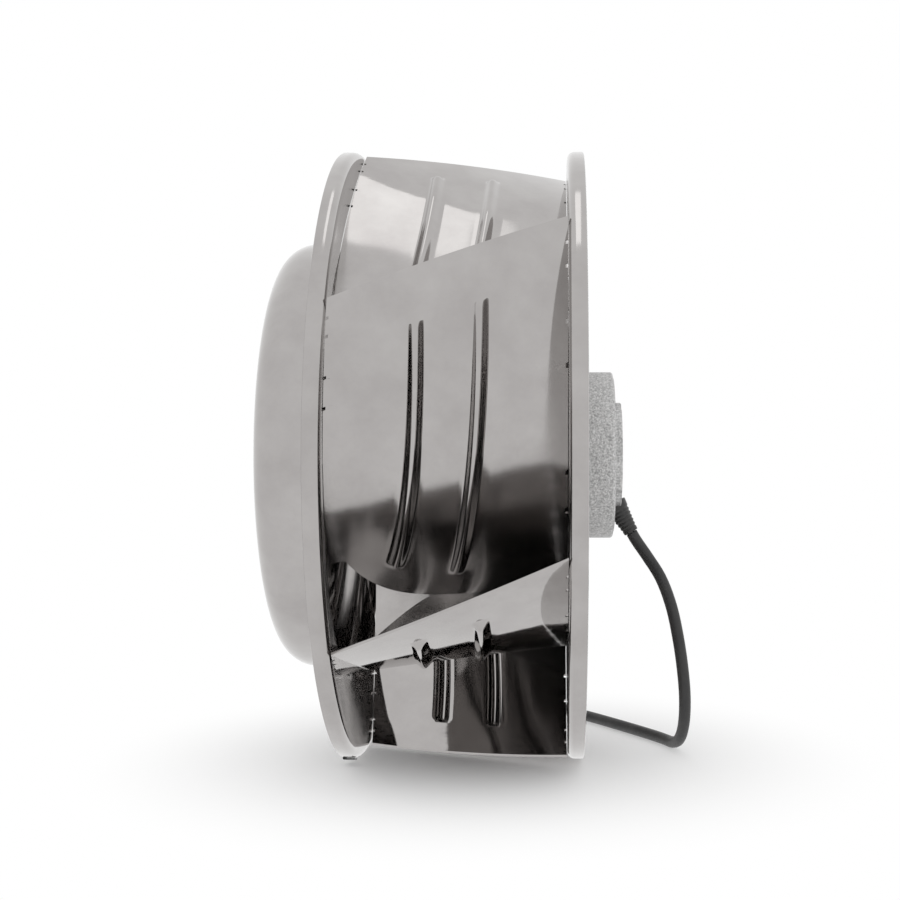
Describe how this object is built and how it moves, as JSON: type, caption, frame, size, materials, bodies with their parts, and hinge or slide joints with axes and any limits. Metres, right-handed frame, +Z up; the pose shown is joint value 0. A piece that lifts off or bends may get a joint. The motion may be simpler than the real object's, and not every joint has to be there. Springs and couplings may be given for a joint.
{
  "type": "plug fan",
  "caption": "Backward-curved centrifugal plug fan with a sheet-metal impeller on an external-rotor motor and a short supply cable.",
  "frame": {"origin": "centre of the motor's mounting face, on the shaft's axis", "axes": "+X out of the mounting face, away from the impeller; +Z up"},
  "size_m": [0.2374, 0.3733, 0.3551],
  "materials": {
    "sheet_aluminium": "bright rolled sheet",
    "cast_aluminium": "blasted die casting",
    "rotor_paint": "black satin paint",
    "clip_black": "blackened spring steel",
    "zinc_steel": "zinc plated",
    "magnet": "bonded magnet",
    "ground_steel": "ground",
    "spring_steel": "tempered",
    "lamination": "stacked sheet",
    "insulator": "moulded",
    "copper": "enamelled wire",
    "circuit_board": "coated board",
    "capacitor": "sleeved",
    "cable_rubber": "matt jacket",
    "nylon": "moulded",
    "core_brown": "extruded",
    "core_blue": "extruded",
    "core_earth": "extruded",
    "core_grey": "extruded"
  },
  "bodies": {
    "stator": {"bearing_tube": "cast_aluminium", "board_capacitor_1": "capacitor", "board_capacitor_2": "capacitor", "cable_coil": "cable_rubber", "cable_tail": "cable_rubber", "coil_tie": "nylon", "control_board": "circuit_board", "front_bearing_ball_cage": "ground_steel", "front_bearing_outer_race": "ground_steel", "front_insulator": "insulator", "front_winding": "copper", "housing_gasket": "cable_rubber", "lead_core_1": "core_brown", "lead_core_2": "core_blue", "lead_core_3": "core_earth", "lead_core_4": "core_grey", "lead_ferrule_1": "zinc_steel", "lead_ferrule_2": "zinc_steel", "lead_ferrule_3": "zinc_steel", "lead_ferrule_4": "zinc_steel", "motor_housing": "cast_aluminium", "rear_bearing_ball_cage": "ground_steel", "rear_bearing_outer_race": "ground_steel", "rear_insulator": "insulator", "rear_winding": "copper", "stator_core": "lamination", "strain_relief": "cable_rubber", "supply_cable": "cable_rubber", "tube_screw_1": "zinc_steel", "tube_screw_2": "zinc_steel", "tube_screw_3": "zinc_steel", "tube_screw_4": "zinc_steel", "wave_spring": "spring_steel"},
    "impeller": {"back_plate": "sheet_aluminium", "inlet_shroud": "sheet_aluminium", "blade_1": "sheet_aluminium", "blade_2": "sheet_aluminium", "blade_3": "sheet_aluminium", "blade_4": "sheet_aluminium", "blade_5": "sheet_aluminium", "blade_6": "sheet_aluminium", "balance_clip": "clip_black", "rotor_cup": "rotor_paint", "rotor_screw_1": "zinc_steel", "rotor_screw_2": "zinc_steel", "rotor_screw_3": "zinc_steel", "rotor_screw_4": "zinc_steel", "rotor_screw_5": "zinc_steel", "rotor_screw_6": "zinc_steel", "rotor_magnets": "magnet", "motor_shaft": "ground_steel", "front_bearing_inner_race": "ground_steel", "rear_bearing_inner_race": "ground_steel", "shaft_circlip": "spring_steel"}
  },
  "joints": [
    {"name": "impeller_spin", "type": "hinge", "parent": "stator", "child": "impeller", "pos_m": [0, 0, 0], "axis": [1, 0, 0], "continuous": true}
  ]
}
